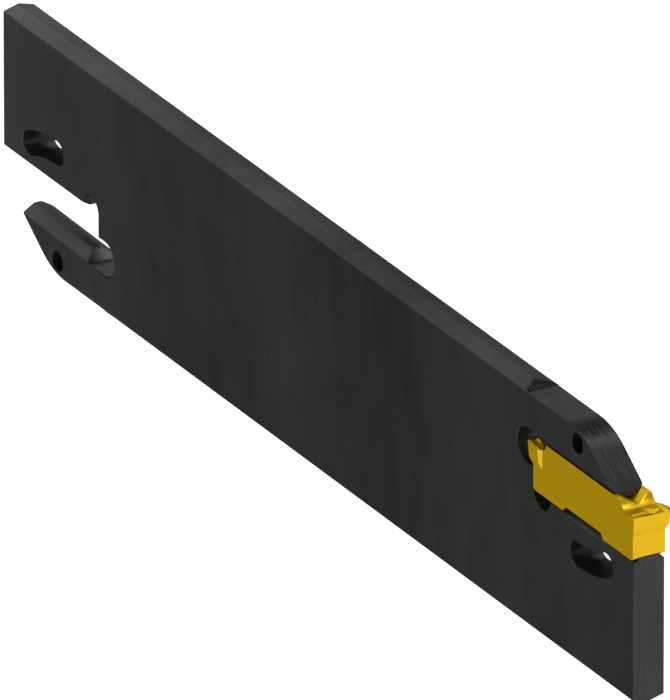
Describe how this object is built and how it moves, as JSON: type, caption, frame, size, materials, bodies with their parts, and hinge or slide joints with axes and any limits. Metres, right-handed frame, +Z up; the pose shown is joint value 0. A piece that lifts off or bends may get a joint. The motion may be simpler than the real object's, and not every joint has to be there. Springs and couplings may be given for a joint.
{
  "type": "parting blade",
  "caption": "Double-ended parting-off blade with a V-ridged steel bar, a spring finger and key holes at each end, and one clamped grooving insert.",
  "frame": {"origin": "centre of the blade: halfway along the steel bar, in the middle of its thickness and halfway between the tips of the two long ridges", "axes": "+X along the blade to the end that holds the insert, +Y through the thickness, away from the side shown in front, +Z up to the long edge above the clamped insert"},
  "size_m": [0.1548, 0.0052, 0.0318],
  "materials": {
    "blade_steel": "dark satin, as hardened and ground",
    "insert_coating": "gold coloured hard coating on pressed carbide"
  },
  "bodies": {
    "root": {"blade_body": "blade_steel", "cutting_insert": "insert_coating"}
  },
  "joints": []
}
